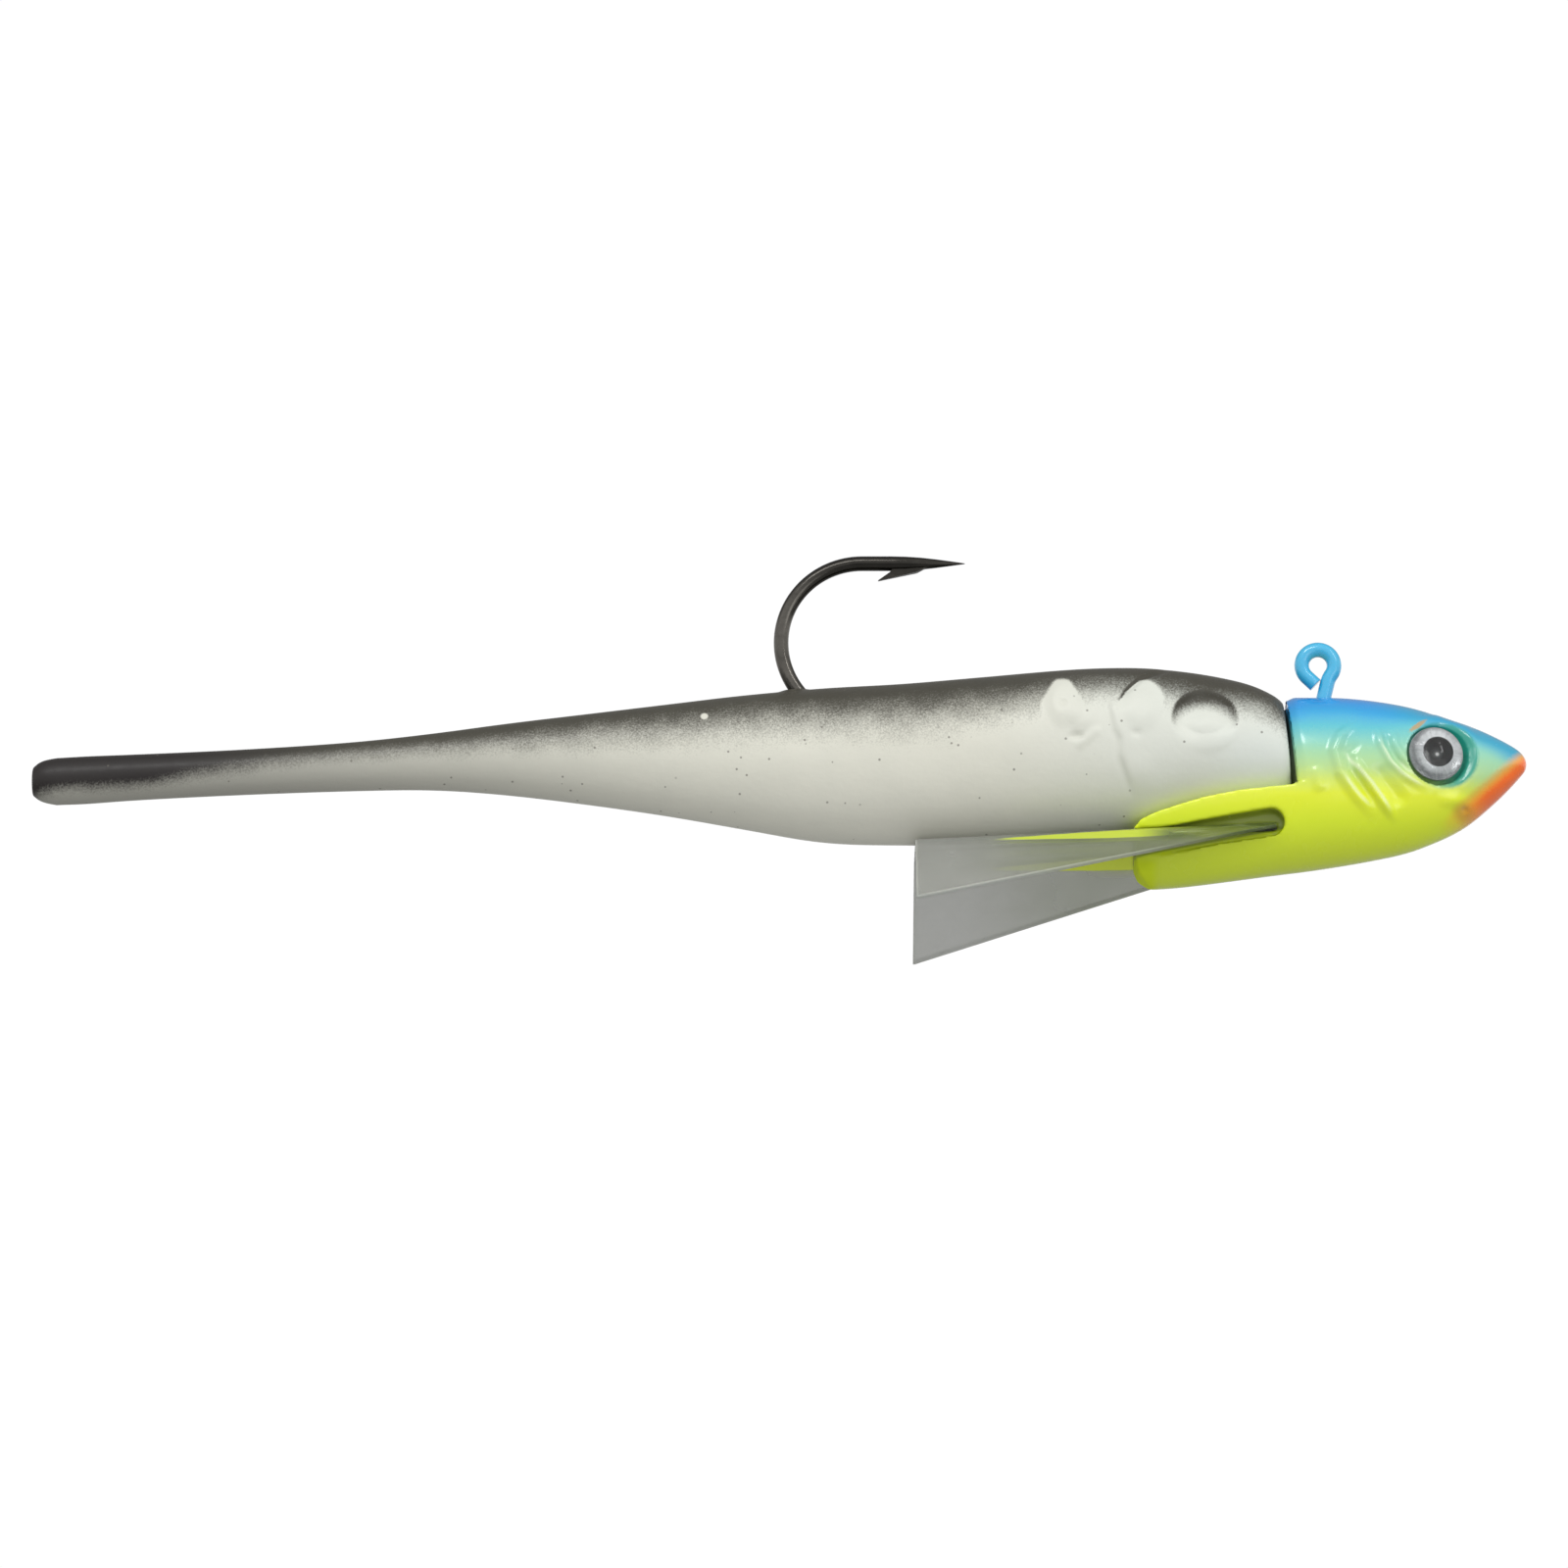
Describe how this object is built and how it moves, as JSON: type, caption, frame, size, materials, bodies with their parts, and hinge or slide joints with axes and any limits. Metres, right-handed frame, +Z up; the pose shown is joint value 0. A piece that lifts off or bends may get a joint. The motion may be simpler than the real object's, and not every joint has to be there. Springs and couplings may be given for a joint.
{
  "type": "swimbait",
  "caption": "Jig swimbait: painted cast head on a single upturned hook, soft tapering body, clear drooping film wings under the belly.",
  "frame": {"origin": "centre of the line eye's loop", "axes": "+X towards the nose, along the body; +Y to the bait's left, across it; +Z up, the side of the hook point"},
  "size_m": [0.1651, 0.0372, 0.0424],
  "materials": {
    "head_paint": "gloss blue to chartreuse fade",
    "hook_wire": "black nickel",
    "soft_body": "satin soft plastic with a dark sprayed back",
    "film": "clear film",
    "eye_print": "silver foil with a black pupil",
    "eye_lens": "clear domed lens"
  },
  "bodies": {
    "jig": {"head_casting": "head_paint", "jig_hook": "hook_wire", "body_front": "soft_body", "wing_web": "film", "eye_foil_left": "eye_print", "eye_foil_right": "eye_print", "eye_dome_left": "eye_lens", "eye_dome_right": "eye_lens"},
    "tail_1": {"tail_segment_1": "soft_body"},
    "tail_2": {"tail_segment_2": "soft_body"},
    "tail_3": {"tail_segment_3": "soft_body"},
    "tail_4": {"tail_segment_4": "soft_body"},
    "wing_left_film": {"wing_left": "film"},
    "wing_right_film": {"wing_right": "film"}
  },
  "joints": [
    {"name": "tail_flex_1", "type": "hinge", "parent": "jig", "child": "tail_1", "pos_m": [-0.07, 0, -0.011], "axis": [0, 0, 1], "range_deg": [-25, 25], "stiffness_Nm_per_rad": 0.004},
    {"name": "tail_flex_2", "type": "hinge", "parent": "tail_1", "child": "tail_2", "pos_m": [-0.088, 0, -0.011], "axis": [0, 0, 1], "range_deg": [-25, 25], "stiffness_Nm_per_rad": 0.0015},
    {"name": "tail_flex_3", "type": "hinge", "parent": "tail_2", "child": "tail_3", "pos_m": [-0.105, 0, -0.011], "axis": [0, 0, 1], "range_deg": [-25, 25], "stiffness_Nm_per_rad": 0.0008},
    {"name": "tail_flex_4", "type": "hinge", "parent": "tail_3", "child": "tail_4", "pos_m": [-0.122, 0, -0.011], "axis": [0, 0, 1], "range_deg": [-25, 25], "stiffness_Nm_per_rad": 0.0006},
    {"name": "wing_left_flap", "type": "hinge", "parent": "jig", "child": "wing_left_film", "pos_m": [-0.005, 0.006, -0.019], "axis": [0.9988, 0, 0.0491], "range_deg": [-12, 30], "stiffness_Nm_per_rad": 0.001},
    {"name": "wing_right_flap", "type": "hinge", "parent": "jig", "child": "wing_right_film", "pos_m": [-0.005, -0.006, -0.019], "axis": [-0.9988, 0, -0.0491], "range_deg": [-12, 30], "stiffness_Nm_per_rad": 0.001}
  ]
}
